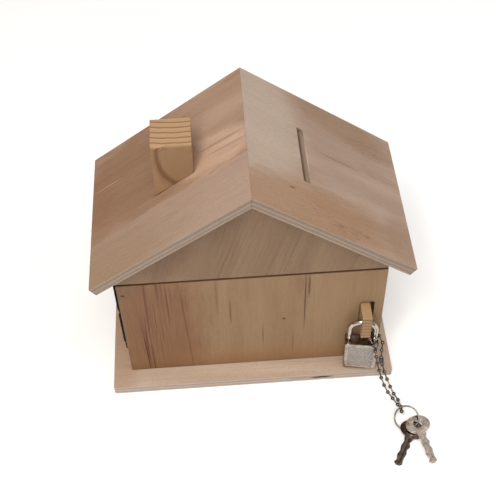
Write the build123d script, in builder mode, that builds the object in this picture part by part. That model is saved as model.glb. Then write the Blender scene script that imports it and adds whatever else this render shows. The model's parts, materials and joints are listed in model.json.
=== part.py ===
from build123d import *
from math import cos, pi, radians, sin, tan
import os

os.makedirs("parts", exist_ok=True)

# ---- driving dimensions (mm); the front of the house faces -Y -------------
board = 6.0                # plywood thickness used throughout
house_width = 150.0        # outside of left wall to outside of right wall
house_depth = 73.0         # front of the door to back of the back wall
margin = 12.0              # how far roof and base reach past front and back
eave_height = 104.6        # roof underside above the outer face of a wall
roof_slope = 36.0          # degrees
roof_length = 107.7        # roof board, ridge to eave, measured on top
base_left = -86.0
base_right = 83.0
corner_round = 0.8         # handled corners of the plywood boards

door_height = 83.0
door_gap = 0.5             # door to base
gable_gap = 0.9            # door to gable
seam = 0.3                 # back of the door to the wall edges
slot_width = 8.6           # opening in the door for the tongue
slot_height = 22.0
slot_middle_x = 65.5

chimney_side = 21.2
chimney_x = -38.2
chimney_y = 1.0
chimney_top = 166.0

coin_slot_length = 40.5
coin_slot_width = 4.2
coin_slot_from_ridge = 37.5
coin_slot_y = 0.8
coin_slot_corner = 0.7

tongue_width = 5.6
tongue_height = 19.6
tongue_x = 64.4
tongue_bottom = 38.8
tongue_out = 10.2          # beyond the door
tongue_in = 12.0           # behind the door
tongue_hole_width = 4.8
tongue_hole_height = 9.6
tongue_hole_middle = 50.6

hinge_height = 26.0
hinge_bottoms = (29.5, 61.0)
leaf_thickness = 0.8
wall_leaf_width = 9.0
door_leaf_width = 5.6
knuckle_radius = 1.2
pin_radius = 0.6
pin_head = 0.7
nail_radius = 0.5
nail_length = 5.0
nail_head_radius = 0.9
nail_head = 0.35
wall_nail_steps = (0.25, 0.75)          # shares of the hinge's height
door_nail_steps = (0.25, 0.5, 0.75)

lock_x = 63.4
lock_out = 6.0             # middle of the padlock in front of the door
lock_turn = -9.0           # degrees, right side turned forward
lock_bottom = 7.2
case_width = 20.0
case_thickness = 8.5
case_height = 24.0
panel_width = 15.0
panel_height = 19.0
panel_depth = 0.7          # recess in the case
panel_thickness = 0.4
panel_notch = 2.4          # cut from each corner
wire_radius = 1.5
leg_spacing = 15.0
bow_top = 49.3             # centre of the shackle wire at its highest
long_leg_in = 14.0         # depth of the long leg in the case
short_leg_in = 7.0
shackle_travel = 4.0
plug_radius = 3.0
plug_height = 10.0
running = 0.06             # radial clearance of a running fit

bead_radius = 1.2
bead_pitch = 4.6
link_radius = 0.4

key_thickness = 0.7
key_reach = 25.0           # hole to tip
key_head_width = 14.6
key_head_height = 11.4
key_hole_radius = 2.6
ring_radius = 7.2
ring_wire = 0.4

# ---- placing of boxes and cylinders on their foot, their head or a corner --
on_foot = (Align.CENTER, Align.CENTER, Align.MIN)
on_head = (Align.CENTER, Align.CENTER, Align.MAX)
on_corner = (Align.MIN, Align.MIN, Align.MIN)

# ---- positions worked out from the driving dimensions ---------------------
front = -house_depth / 2
back = house_depth / 2
inner_front = front + board + seam
half_width = house_width / 2
slope_tan = tan(radians(roof_slope))
slope_sin = sin(radians(roof_slope))
slope_cos = cos(radians(roof_slope))
ridge_under = eave_height + half_width * slope_tan
ridge_top = ridge_under + board / slope_cos
door_bottom = board + door_gap
door_top = door_bottom + door_height
gable_bottom = door_top + gable_gap
case_top = lock_bottom + case_height
bow_radius = leg_spacing / 2
bow_centre = bow_top - bow_radius
lock_y = front - lock_out
lock_plane = Plane(
    origin=(lock_x, lock_y, 0),
    x_dir=(cos(radians(lock_turn)), sin(radians(lock_turn)), 0),
    z_dir=(0, 0, 1),
)
hinge_x = -half_width - knuckle_radius
hinge_y = front + board + seam / 2
wall_nail_y = hinge_y + 6.0
door_nail_y = hinge_y - 3.6


def roof_under(x):
    """Height of the roof's underside above the point x."""
    return ridge_under - abs(x) * slope_tan


def save(piece, name):
    piece.part.label = name
    export_step(piece.part, "parts/" + name + ".step")


# ---- base, with pilot holes for the brads that hold the walls -------------
wall_middle = half_width - board / 2
side_brads_y = (-20.0, 4.0)
back_brads_x = (-40.0, 40.0)
brad_spots = [(side * wall_middle, y) for side in (-1, 1) for y in side_brads_y]
brad_spots += [(x, back - board / 2) for x in back_brads_x]
brad_radius = 0.6
brad_length = 18.0
brad_foot = 0.2            # heads sunk into the underside

with BuildPart() as base_board:
    with BuildSketch() as base_outline:
        with Locations(((base_left + base_right) / 2, 0)):
            Rectangle(base_right - base_left, house_depth + 2 * margin)
        fillet(base_outline.vertices(), corner_round)
    extrude(amount=board)
    with Locations([(x, y, board / 2) for x, y in brad_spots]):
        Cylinder(brad_radius, board, mode=Mode.SUBTRACT)
save(base_board, "base_board")

with BuildPart() as base_brads:
    with Locations([(x, y, brad_foot) for x, y in brad_spots]):
        Cylinder(brad_radius, brad_length, align=on_foot)
save(base_brads, "base_brads")

# ---- side walls: tops cut to the roof slope --------------------------------
for side, name in ((-1, "left_wall"), (1, "right_wall")):
    outer = side * half_width
    inner = side * (half_width - board)
    with BuildPart() as wall:
        with BuildSketch(Plane.XZ.offset(-inner_front)) as wall_profile:
            with BuildLine():
                Polyline(
                    (outer, board),
                    (inner, board),
                    (inner, roof_under(inner)),
                    (outer, roof_under(outer)),
                    close=True,
                )
            make_face()
        extrude(amount=-(back - board - inner_front))
        with Locations([(x, y, brad_foot) for x, y in brad_spots]):
            Cylinder(brad_radius, brad_length, align=on_foot, mode=Mode.SUBTRACT)
        if side < 0:
            for hinge_bottom in hinge_bottoms:
                for step in wall_nail_steps:
                    z = hinge_bottom + hinge_height * step
                    with Locations(Location((-half_width, wall_nail_y, z), (0, 90, 0))):
                        Cylinder(nail_radius, nail_length, align=on_foot, mode=Mode.SUBTRACT)
    save(wall, name)


def gable_corners(bottom):
    """Corners of a five-sided board that fills the roof down to a height."""
    return [
        (-half_width, bottom),
        (half_width, bottom),
        (half_width, eave_height),
        (0, ridge_under),
        (-half_width, eave_height),
    ]


with BuildPart() as back_wall:
    with BuildSketch(Plane.XZ.offset(-(back - board))):
        with BuildLine():
            Polyline(*gable_corners(board), close=True)
        make_face()
    extrude(amount=-board)
    with Locations([(x, y, brad_foot) for x, y in brad_spots]):
        Cylinder(brad_radius, brad_length, align=on_foot, mode=Mode.SUBTRACT)
save(back_wall, "back_wall")

with BuildPart() as front_gable:
    with BuildSketch(Plane.XZ.offset(-(front + seam))):
        with BuildLine():
            Polyline(*gable_corners(gable_bottom), close=True)
        make_face()
    extrude(amount=-board)
save(front_gable, "front_gable")

# ---- roof: two boards mitred at the ridge ----------------------------------
roof_depth = house_depth + 2 * margin


def roof_corners(side):
    """Section of one roof board, square at the eave and mitred at the ridge."""
    eave_x = side * roof_length * slope_cos
    eave_z = ridge_top - roof_length * slope_sin
    return [
        (0, ridge_top),
        (eave_x, eave_z),
        (eave_x - side * board * slope_sin, eave_z - board * slope_cos),
        (0, ridge_under),
    ]


with BuildPart() as roof_left:
    with BuildSketch(Plane.XZ.offset(roof_depth / 2)):
        with BuildLine():
            Polyline(*roof_corners(-1), close=True)
        make_face()
    extrude(amount=-roof_depth)
save(roof_left, "roof_left")

slot_x = coin_slot_from_ridge * slope_cos
slot_z = ridge_top - coin_slot_from_ridge * slope_sin
slot_plane = Plane(
    origin=(slot_x, coin_slot_y, slot_z),
    x_dir=(slope_cos, 0, -slope_sin),
    z_dir=(slope_sin, 0, slope_cos),
)

with BuildPart() as roof_right:
    with BuildSketch(Plane.XZ.offset(roof_depth / 2)):
        with BuildLine():
            Polyline(*roof_corners(1), close=True)
        make_face()
    extrude(amount=-roof_depth)
    with BuildSketch(slot_plane):
        RectangleRounded(coin_slot_width, coin_slot_length, coin_slot_corner)
    extrude(amount=2 * board, both=True, mode=Mode.SUBTRACT)
save(roof_right, "roof_right")

# ---- chimney: square post, foot cut to the roof slope ----------------------
with BuildPart() as chimney:
    with BuildSketch(Plane.XZ.offset(-(chimney_y - chimney_side / 2))):
        with BuildLine():
            left = chimney_x - chimney_side / 2
            right = chimney_x + chimney_side / 2
            Polyline(
                (left, chimney_top),
                (right, chimney_top),
                (right, roof_under(right) + board / slope_cos),
                (left, roof_under(left) + board / slope_cos),
                close=True,
            )
        make_face()
    extrude(amount=-chimney_side)
    chamfer(chimney.edges().group_by(Axis.Z)[-1], 0.5)
save(chimney, "chimney")

# ---- door ------------------------------------------------------------------
with BuildPart() as door_panel:
    with BuildSketch(Plane.XZ.offset(-front)):
        with Locations((0, door_bottom + door_height / 2)):
            Rectangle(house_width, door_height)
        with BuildSketch(mode=Mode.SUBTRACT) as door_slot:
            with Locations((slot_middle_x, tongue_bottom + slot_height / 2)):
                Rectangle(slot_width, slot_height)
            fillet(door_slot.vertices().group_by(Axis.Y)[-1], 1.6)
    extrude(amount=-board)
    for hinge_bottom in hinge_bottoms:
        for step in door_nail_steps:
            z = hinge_bottom + hinge_height * step
            with Locations(Location((-half_width, door_nail_y, z), (0, 90, 0))):
                Cylinder(nail_radius, nail_length, align=on_foot, mode=Mode.SUBTRACT)
save(door_panel, "door_panel")

# ---- lock tongue and the block behind it ------------------------------------
with BuildPart() as lock_tongue:
    tongue_length = tongue_out + board + tongue_in
    with Locations((tongue_x, front - tongue_out + tongue_length / 2, tongue_bottom)):
        Box(tongue_width, tongue_length, tongue_height, align=on_foot)
    chamfer(lock_tongue.edges().filter_by(Axis.X).group_by(Axis.Y)[0], 0.5)
    with BuildSketch(Plane.YZ.offset(tongue_x)):
        with Locations((lock_y, tongue_hole_middle)):
            RectangleRounded(tongue_hole_width, tongue_hole_height, tongue_hole_width / 2 - 0.1)
    extrude(amount=tongue_width, both=True, mode=Mode.SUBTRACT)
save(lock_tongue, "lock_tongue")

block_left = tongue_x - tongue_width / 2
block_front = front + board + tongue_in
with BuildPart() as tongue_block:
    with Locations((block_left, block_front, tongue_bottom - 4)):
        Box(half_width - board - block_left, 14, tongue_height + 8, align=on_corner)
    chamfer(tongue_block.edges().filter_by(Axis.Z).group_by(Axis.X)[0], 1)
save(tongue_block, "tongue_block")

# ---- hinges: two butt hinges with their knuckles outside the left wall -----
knuckle_third = hinge_height / 3
knuckle_gap = 0.15
wall_thirds = (0, 2)
door_thirds = (1,)
leaf_x = -half_width - leaf_thickness / 2


def hinge_leaf(bottom, thirds, direction, width, nail_y, nail_steps):
    """Plate on the wood with its share of the knuckles, along +Y or -Y."""
    plate_start = hinge_y + direction * (knuckle_radius + 0.2)
    plate_end = hinge_y + direction * (knuckle_radius + width)
    with Locations((leaf_x, (plate_start + plate_end) / 2, bottom + hinge_height / 2)):
        Box(leaf_thickness, abs(plate_end - plate_start), hinge_height)
    for third in thirds:
        z = bottom + third * knuckle_third + knuckle_gap / 2
        length = knuckle_third - knuckle_gap
        with Locations((leaf_x, (hinge_y + plate_start) / 2, z)):
            Box(leaf_thickness, abs(plate_start - hinge_y) + 0.02, length, align=on_foot)
        with Locations((hinge_x, hinge_y, z)):
            Cylinder(knuckle_radius, length, align=on_foot)
    with Locations((hinge_x, hinge_y, bottom + hinge_height / 2)):
        Cylinder(pin_radius + running, hinge_height, mode=Mode.SUBTRACT)
    for step in nail_steps:
        with Locations(Location((leaf_x, nail_y, bottom + hinge_height * step), (0, 90, 0))):
            Cylinder(nail_radius, 3, mode=Mode.SUBTRACT)


for hinge_bottom, place in zip(hinge_bottoms, ("lower", "upper")):
    with BuildPart() as wall_leaf:
        hinge_leaf(hinge_bottom, wall_thirds, 1, wall_leaf_width, wall_nail_y, wall_nail_steps)
    save(wall_leaf, place + "_hinge_wall_leaf")
    with BuildPart() as door_leaf:
        plate_width = door_leaf_width - knuckle_radius
        hinge_leaf(hinge_bottom, door_thirds, -1, plate_width, door_nail_y, door_nail_steps)
    save(door_leaf, place + "_hinge_door_leaf")
    with BuildPart() as hinge_pin:
        with Locations((hinge_x, hinge_y, hinge_bottom)):
            Cylinder(pin_radius, hinge_height, align=on_foot)
        for z in (hinge_bottom - pin_head / 2, hinge_bottom + hinge_height + pin_head / 2):
            with Locations((hinge_x, hinge_y, z)):
                Cylinder(pin_radius + 0.3, pin_head)
    save(hinge_pin, place + "_hinge_pin")


def hinge_nails(nail_y, steps):
    """Round-headed nails through the leaves of both hinges."""
    head_x = -half_width - leaf_thickness
    for bottom in hinge_bottoms:
        for step in steps:
            with Locations(Location((head_x, nail_y, bottom + hinge_height * step), (0, 90, 0))):
                Cylinder(nail_radius, nail_length + leaf_thickness - 0.1, align=on_foot)
                Cylinder(nail_head_radius, nail_head, align=on_head)


with BuildPart() as wall_nails:
    hinge_nails(wall_nail_y, wall_nail_steps)
save(wall_nails, "hinge_wall_nails")

with BuildPart() as door_nails:
    hinge_nails(door_nail_y, door_nail_steps)
save(door_nails, "hinge_door_nails")

# ---- padlock: case with two leg bores, a plug bore and a latch chamber ----
leg_x = leg_spacing / 2
latch_low = case_top - 11.0
latch_high = case_top - 5.0
latch_half_depth = 1.6
latch_left = -5.0          # body of the latch at rest, before its nose
latch_right = 0.0
latch_travel = 1.6
nose = 0.65                # reach of the latch's nose into the short leg
spring_bottom = case_top - long_leg_in - 8.0

with BuildPart(lock_plane) as lock_case:
    with BuildSketch(lock_plane.offset(lock_bottom)) as case_outline:
        Rectangle(case_width, case_thickness)
        fillet(case_outline.vertices(), 1.2)
    extrude(amount=case_height)
    chamfer(lock_case.faces().sort_by(Axis.Z)[-1].edges(), 0.4)
    chamfer(lock_case.faces().sort_by(Axis.Z)[0].edges(), 0.4)
    for side in (-1, 1):
        with Locations((0, side * (case_thickness - panel_depth) / 2, lock_bottom + case_height / 2)):
            Box(panel_width, panel_depth, panel_height, mode=Mode.SUBTRACT)
    bore_bottoms = ((-leg_x, case_top - short_leg_in - 0.5), (leg_x, spring_bottom))
    for x, z in bore_bottoms:
        with Locations((x, 0, z)):
            Cylinder(wire_radius + running, case_top - z, align=on_foot, mode=Mode.SUBTRACT)
        with Locations((x, 0, case_top)):
            Cylinder(wire_radius + 0.6, 0.7, align=on_head, mode=Mode.SUBTRACT)
    with Locations((0, 0, lock_bottom)):
        Cylinder(plug_radius + running, plug_height + 2.3, align=on_foot, mode=Mode.SUBTRACT)
    with Locations(((-leg_x + 2.6) / 2, 0, (latch_low + latch_high) / 2)):
        Box(leg_x + 2.6, 2 * latch_half_depth + 0.2, latch_high - latch_low + 0.3, mode=Mode.SUBTRACT)
save(lock_case, "lock_case")

case_middle = lock_bottom + case_height / 2
for side, name in ((-1, "lock_front_panel"), (1, "lock_back_panel")):
    panel_y = side * ((case_thickness + panel_thickness) / 2 - panel_depth)
    with BuildPart(lock_plane) as panel:
        with Locations((0, panel_y, case_middle)):
            Box(panel_width, panel_thickness, panel_height)
        for corner in GridLocations(panel_width, panel_height, 2, 2).locations:
            with Locations((corner.position.X, panel_y, case_middle + corner.position.Y)):
                Box(panel_notch, 1, panel_notch, mode=Mode.SUBTRACT)
    save(panel, name)

leg_bottom_long = case_top - long_leg_in
leg_bottom_short = case_top - short_leg_in
shackle_face = Plane(origin=lock_plane.origin, x_dir=lock_plane.x_dir, z_dir=-lock_plane.y_dir)
notch_top = latch_high + 0.2
with BuildPart() as shackle:
    with BuildLine(shackle_face) as shackle_path:
        Line((leg_x, leg_bottom_long), (leg_x, bow_centre))
        CenterArc((0, bow_centre), bow_radius, 0, 180)
        Line((-leg_x, bow_centre), (-leg_x, leg_bottom_short))
    with BuildSketch(lock_plane.offset(leg_bottom_long)):
        with Locations((leg_x, 0)):
            Circle(wire_radius)
    sweep(path=shackle_path.line)
    with BuildSketch(shackle_face):
        with BuildLine():
            inside = -leg_x + wire_radius
            Polyline(
                (inside - nose - 0.2, notch_top),
                (inside + 0.5, notch_top),
                (inside + 0.5, latch_high - 0.9 - (nose + 0.5) * shackle_travel / latch_travel),
                (inside - nose - 0.2, latch_high - 1.0 + 0.2 * shackle_travel / latch_travel),
                close=True,
            )
        make_face()
    extrude(amount=2 * wire_radius, both=True, mode=Mode.SUBTRACT)
save(shackle, "shackle")

with BuildPart() as lock_latch:
    with BuildSketch(shackle_face):
        with BuildLine():
            inside = -leg_x + wire_radius
            slant = shackle_travel / latch_travel
            Polyline(
                (inside - nose, latch_high),
                (latch_right, latch_high),
                (latch_right, latch_low),
                (latch_left, latch_low),
                (latch_left, latch_high - 0.3 - (nose + latch_left - inside) * slant),
                (inside - nose, latch_high - 0.3),
                close=True,
            )
        make_face()
    extrude(amount=latch_half_depth, both=True)
save(lock_latch, "lock_latch")

with BuildPart(lock_plane) as lock_plug:
    with Locations((0, 0, lock_bottom)):
        Cylinder(plug_radius, plug_height, align=on_foot)
        Box(4.2, 1.0, 8, align=on_foot, mode=Mode.SUBTRACT)
    with Locations((0, 1.4, lock_bottom + plug_height)):
        Cylinder(0.8, 1.6, align=on_foot)
save(lock_plug, "lock_plug")

spring_radius = 1.0
spring_wire = 0.22
spring_height = leg_bottom_long - spring_bottom - 2 * spring_wire
spring_foot = Location(lock_plane.offset(spring_bottom + spring_wire)) * Location((leg_x, 0, 0))
spring_coil = spring_foot * Helix(pitch=spring_height / 6, height=spring_height, radius=spring_radius)
with BuildPart() as shackle_spring:
    with BuildSketch(Plane(origin=spring_coil @ 0, z_dir=spring_coil % 0)):
        Circle(spring_wire)
    sweep(path=spring_coil, is_frenet=True)
save(shackle_spring, "shackle_spring")

# ---- ball chain: a closed loop round the shackle's right leg and the ring --
# Route of the loop, from the middle of the padlock and the front of the door.
chain_route = [
    (20.6, -40.8, 5.0),
    (18.3, -36.9, 7.4),
    (13.9, -29.5, 8.8),
    (10.9, -22.5, 12.8),
    (8.9, -16.8, 19.0),
    (7.6, -13.9, 26.0),
    (5.6, -11.6, 33.4),
    (4.2, -7.0, 35.0),
    (7.4, -3.9, 34.0),
    (11.6, -6.6, 32.0),
    (11.3, -12.0, 25.5),
    (11.9, -16.8, 18.2),
    (14.4, -23.9, 12.3),
    (18.0, -31.6, 7.6),
    (21.0, -36.6, 3.9),
]
chain_line = Spline([(lock_x + x, front + y, z) for x, y, z in chain_route], periodic=True)
bead_count = round(chain_line.length / bead_pitch)
bead_spots = [chain_line @ (i / bead_count) for i in range(bead_count)]
connector_index = bead_count * 7 // 10

with BuildPart() as chain_beads:
    with Locations(bead_spots):
        Sphere(bead_radius)
save(chain_beads, "chain_beads")


def span_plane(start, end, inset):
    """Plane across the chain, a little way from one bead towards the next."""
    direction = (end - start).normalized()
    return Plane(origin=start + direction * inset, z_dir=direction)


bead_pairs = list(zip(bead_spots, bead_spots[1:] + bead_spots[:1]))
with BuildPart() as chain_links:
    for index, (start, end) in enumerate(bead_pairs):
        if index == connector_index:
            continue
        with BuildSketch(span_plane(start, end, bead_radius - 0.1)):
            Circle(link_radius)
        extrude(amount=(end - start).length - 2 * bead_radius + 0.2)
save(chain_links, "chain_links")

with BuildPart() as chain_connector:
    start, end = bead_pairs[connector_index]
    sleeve = (end - start).length - 2 * bead_radius + 1.6
    with BuildSketch(span_plane(start, end, bead_radius - 0.8)):
        Circle(bead_radius + 0.3)
        Circle(bead_radius + 0.02, mode=Mode.SUBTRACT)
    extrude(amount=sleeve)
save(chain_connector, "chain_connector")

# ---- key ring, tilted so that it threads both keys --------------------------
ring_centre = Vector(lock_x + 22.9, front - 44.5, 3.5)
ring_low = -120.0          # bearing of the ring's lowest point, degrees
ring_tilt = 25.0
ring_axis = Vector(
    cos(radians(ring_low)) * sin(radians(ring_tilt)),
    sin(radians(ring_low)) * sin(radians(ring_tilt)),
    cos(radians(ring_tilt)),
)
with BuildPart(Plane(origin=ring_centre, z_dir=ring_axis)) as key_ring:
    Torus(ring_radius, ring_wire)
save(key_ring, "key_ring")

# ---- keys: flat, oval heads, blades cut in waves on both edges --------------
blade_start = 4.6          # from the middle of the hole
blade_half = 2.1
wave_depth = 0.45
wave_length = 5.4
wave_points = 9


def blade_edge(side):
    """Points along one wavy edge of the blade, from the head to the tip."""
    points = []
    for i in range(wave_points):
        x = blade_start + (key_reach - 1.6 - blade_start) * i / (wave_points - 1)
        wave = wave_depth * cos(2 * pi * (x - blade_start) / wave_length + (side > 0) * 1.0)
        points.append((x, side * (blade_half - wave)))
    return points


def save_key(name, hole, bearing, fall):
    """Key with its hole at the given place, sloping down to its tip."""
    along = Vector(
        cos(radians(bearing)) * cos(radians(fall)),
        sin(radians(bearing)) * cos(radians(fall)),
        -sin(radians(fall)),
    )
    across = Vector(-sin(radians(bearing)), cos(radians(bearing)), 0)
    flat = Plane(origin=hole, x_dir=along, z_dir=along.cross(across))
    with BuildPart() as key:
        with BuildSketch(flat):
            with Locations((0.4, 0)):
                Ellipse(key_head_height / 2, key_head_width / 2)
            with BuildLine():
                upper = Spline(blade_edge(1))
                lower = Spline(blade_edge(-1))
                ThreePointArc(upper @ 1, (key_reach, 0), lower @ 1)
                Line(upper @ 0, lower @ 0)
            make_face()
            Circle(key_hole_radius, mode=Mode.SUBTRACT)
        extrude(amount=key_thickness / 2, both=True)
        groove = Plane(origin=flat.origin + flat.z_dir * key_thickness / 2, x_dir=along, z_dir=flat.z_dir)
        with BuildSketch(groove):
            with Locations(((blade_start + key_reach) / 2, 0)):
                SlotOverall(key_reach - blade_start - 3, 1.1)
        extrude(amount=-0.25, mode=Mode.SUBTRACT)
    save(key, name)


save_key("key_one", Vector(lock_x + 28.7, front - 48.9, 3.3), -77.2, 5.9)
save_key("key_two", Vector(lock_x + 25.7, front - 51.2, 1.7), -120.5, 2.6)
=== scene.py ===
import json
import math
import random

import bpy
from mathutils import Matrix, Vector


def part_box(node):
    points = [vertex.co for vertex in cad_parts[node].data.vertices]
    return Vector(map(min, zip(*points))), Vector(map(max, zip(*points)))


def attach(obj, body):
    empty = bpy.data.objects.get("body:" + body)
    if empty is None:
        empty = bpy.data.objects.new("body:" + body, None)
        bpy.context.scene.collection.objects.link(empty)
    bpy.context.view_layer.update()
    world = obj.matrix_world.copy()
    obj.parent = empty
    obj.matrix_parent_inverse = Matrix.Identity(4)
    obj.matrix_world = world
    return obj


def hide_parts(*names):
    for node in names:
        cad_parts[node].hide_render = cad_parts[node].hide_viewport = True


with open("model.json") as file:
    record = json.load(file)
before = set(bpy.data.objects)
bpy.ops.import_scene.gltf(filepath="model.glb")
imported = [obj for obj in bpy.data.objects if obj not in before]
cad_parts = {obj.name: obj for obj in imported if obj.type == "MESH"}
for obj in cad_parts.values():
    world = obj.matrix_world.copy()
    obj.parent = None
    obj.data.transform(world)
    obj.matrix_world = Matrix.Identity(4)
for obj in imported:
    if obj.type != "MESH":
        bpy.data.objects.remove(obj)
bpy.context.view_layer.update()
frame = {"nodes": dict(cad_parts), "record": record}
print("frame loaded, nodes:", len(frame["nodes"]))

mm = 0.001
toMillimetres = (1000, 1000, 1000)
finished = []            # every new piece, for the report at the end


def tint(red, green, blue):
    # screen values 0 to 255, turned into linear light
    return tuple((value / 255) ** 2.2 for value in (red, green, blue)) + (1.0,)


def toned(look, colour):
    return tint(*[value * tone for value, tone in zip(colour, look["tone"])])


def grey(level):
    return (level, level, level, 1.0)


# camera, lights and floor

cameraLook = {
    "place": (-0.0161, -0.3583, 0.5002), "yaw": 2.69, "pitch": 50.2, "roll": -1.61,
    "lens": 68.72, "sensor": 36, "near": 0.01, "far": 20,
}


def makeCamera(look):
    camera = bpy.data.objects.new("camera", bpy.data.cameras.new("camera"))
    bpy.context.scene.collection.objects.link(camera)
    turn = Matrix.Rotation(math.radians(-look["yaw"]), 3, "Z")
    turn = turn @ Matrix.Rotation(math.radians(90 - look["pitch"]), 3, "X")
    turn = turn @ Matrix.Rotation(math.radians(look["roll"]), 3, "Z")
    camera.matrix_world = Matrix.Translation(look["place"]) @ turn.to_4x4()
    camera.data.lens = look["lens"]
    camera.data.sensor_width = look["sensor"]
    camera.data.clip_start = look["near"]
    camera.data.clip_end = look["far"]
    bpy.context.scene.camera = camera


lightLook = {
    "top": {"at": (-0.19, -0.58, 1.10), "size": 0.7, "power": 10.2, "warmth": (255, 252, 247)},
    "front": {"at": (-0.2, -1.1, 0.5), "size": 0.7, "power": 0.8, "warmth": (255, 248, 240)},
    "sparkle": {"at": (-0.28, -0.50, 1.02), "size": 0.11, "power": 1.3, "warmth": (255, 252, 247)},
    "right": {"at": (0.9, -0.3, 0.9), "size": 0.6, "power": 4.0, "warmth": (246, 248, 255)},
}
lightTarget = (0, 0, 0.08)


def makeLights(looks):
    for name, look in looks.items():
        light = bpy.data.objects.new(name + "Light", bpy.data.lights.new(name + "Light", "AREA"))
        bpy.context.scene.collection.objects.link(light)
        light.data.size = look["size"]
        light.data.energy = look["power"]
        light.data.color = tint(*look["warmth"])[:3]
        light.location = look["at"]
        aim = Vector(lightTarget) - Vector(look["at"])
        light.rotation_euler = aim.to_track_quat("-Z", "Y").to_euler()


def addNode(tree, kind, inputs=None, **settings):
    # a node with its settings made, and each input linked or set
    node = tree.nodes.new(kind)
    for key, value in settings.items():
        setattr(node, key, value)
    for key, value in (inputs or {}).items():
        if isinstance(value, bpy.types.NodeSocket):
            tree.links.new(value, node.inputs[key])
        else:
            node.inputs[key].default_value = value
    return node


def calc(tree, operation, first, second=0.0, third=0.0):
    node = addNode(tree, "ShaderNodeMath", {0: first, 1: second, 2: third}, operation=operation)
    return node.outputs[0]


def vectorCalc(tree, operation, first, second):
    node = addNode(tree, "ShaderNodeVectorMath", {0: first, 1: second}, operation=operation)
    return node.outputs["Value" if operation in ("LENGTH", "DISTANCE") else "Vector"]


def mixColour(tree, amount, first, second, blend="MIX"):
    # 6, 7 and 2 are the node's colour sockets
    inputs = {0: amount, 6: first, 7: second}
    return addNode(tree, "ShaderNodeMix", inputs, data_type="RGBA", blend_type=blend).outputs[2]


def remap(tree, value, low, high, toLow=0.0, toHigh=1.0, smooth=True):
    inputs = {"Value": value, "From Min": low, "From Max": high, "To Min": toLow, "To Max": toHigh}
    node = addNode(tree, "ShaderNodeMapRange", inputs)
    node.interpolation_type = "SMOOTHSTEP" if smooth else "LINEAR"
    return node.outputs[0]


def noise(tree, point, scale=1.0, detail=2.0, rough=0.5):
    inputs = {"Vector": point, "Scale": scale, "Detail": detail, "Roughness": rough}
    return addNode(tree, "ShaderNodeTexNoise", inputs).outputs["Fac"]


skyLook = {"overhead": 1.0, "level": 0.30, "fullHeight": 0.8, "strength": 0.69}


def makeSky(look):
    world = bpy.data.worlds.new("studio")
    bpy.context.scene.world = world
    world.use_nodes = True
    tree = world.node_tree
    direction = addNode(tree, "ShaderNodeTexCoord").outputs["Generated"]
    height = addNode(tree, "ShaderNodeSeparateXYZ", {0: direction}).outputs["Z"]
    shade = remap(tree, height, 0.0, look["fullHeight"], look["level"], look["overhead"])
    background = tree.nodes["Background"]
    tree.links.new(shade, background.inputs["Color"])
    background.inputs["Strength"].default_value = look["strength"]


floorLook = {"side": 16.0, "tone": (246, 245, 243), "rough": 0.9}


def makeFloor(look):
    bpy.ops.mesh.primitive_plane_add(size=look["side"])
    floor = bpy.context.object
    floor.name = "floor"
    material = bpy.data.materials.new("paleFloor")
    material.use_nodes = True
    shader = material.node_tree.nodes["Principled BSDF"]
    shader.inputs["Base Color"].default_value = tint(*look["tone"])
    shader.inputs["Roughness"].default_value = look["rough"]
    floor.data.materials.append(material)


bpy.ops.object.select_all(action="DESELECT")
bpy.context.scene.view_settings.view_transform = "Standard"
makeCamera(cameraLook)
makeLights(lightLook)
makeSky(skyLook)
makeFloor(floorLook)
print("camera, lights and floor ready")


# shared effects, as node groups; points in them are in millimetres

def newGroup(name, inputs, outputs):
    group = bpy.data.node_groups.new(name, "ShaderNodeTree")
    kinds = {"value": "NodeSocketFloat", "vector": "NodeSocketVector", "colour": "NodeSocketColor"}
    for label, kind, value in inputs:
        socket = group.interface.new_socket(label, in_out="INPUT", socket_type=kinds[kind])
        if value is not None:
            socket.default_value = value
    for label, kind in outputs:
        group.interface.new_socket(label, in_out="OUTPUT", socket_type=kinds[kind])
    start = group.nodes.new("NodeGroupInput")
    end = group.nodes.new("NodeGroupOutput")
    return group, start.outputs, end.inputs


def useGroup(tree, group, inputs):
    return addNode(tree, "ShaderNodeGroup", inputs, node_tree=group).outputs


fibreLook = {
    "seedShift": {"X": 173.0, "Y": 61.0, "Z": 29.0}, "waverScale": (0.018, 0.03, 0.03),
    # stretch and detail of each layer
    "layers": {
        "Fine": ((0.10, 4.5, 4.5), 3.0),
        "Medium": ((0.02, 0.55, 0.55), 3.0),
        "Broad": ((0.009, 0.07, 0.07), 2.0),
        "Fleck": ((0.17, 1.25, 1.25), 2.0),
        "Streak": ((0.016, 1.5, 1.5), 3.0),
        "Nap": ((1.2, 1.8, 1.8), 3.0),
    },
    # only the peaks of these layers are kept
    "peaks": {"Fleck": (0.56, 0.72), "Streak": (0.54, 0.70)},
}


def makeWoodFibre(look):
    # X runs along the fibres; outputs are 0 to 1
    inputs = [("Point", "vector", None), ("Seed", "value", 0.0), ("Waver", "value", 4.0)]
    outputs = [(name, "value") for name in look["layers"]]
    group, given, result = newGroup("woodFibre", inputs, outputs)
    shifts = {axis: calc(group, "MULTIPLY", given["Seed"], far) for axis, far in look["seedShift"].items()}
    shift = addNode(group, "ShaderNodeCombineXYZ", shifts).outputs[0]
    point = vectorCalc(group, "ADD", given["Point"], shift)
    slow = vectorCalc(group, "MULTIPLY", point, look["waverScale"])
    waver = calc(group, "MULTIPLY", calc(group, "SUBTRACT", noise(group, slow), 0.5), given["Waver"])
    sideways = addNode(group, "ShaderNodeCombineXYZ", {"Y": waver, "Z": waver}).outputs[0]
    point = vectorCalc(group, "ADD", point, sideways)
    for name, (stretch, detail) in look["layers"].items():
        value = noise(group, vectorCalc(group, "MULTIPLY", point, stretch), detail=detail)
        if name in look["peaks"]:
            value = remap(group, value, *look["peaks"][name])
        group.links.new(value, result[name])
    return group


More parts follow.
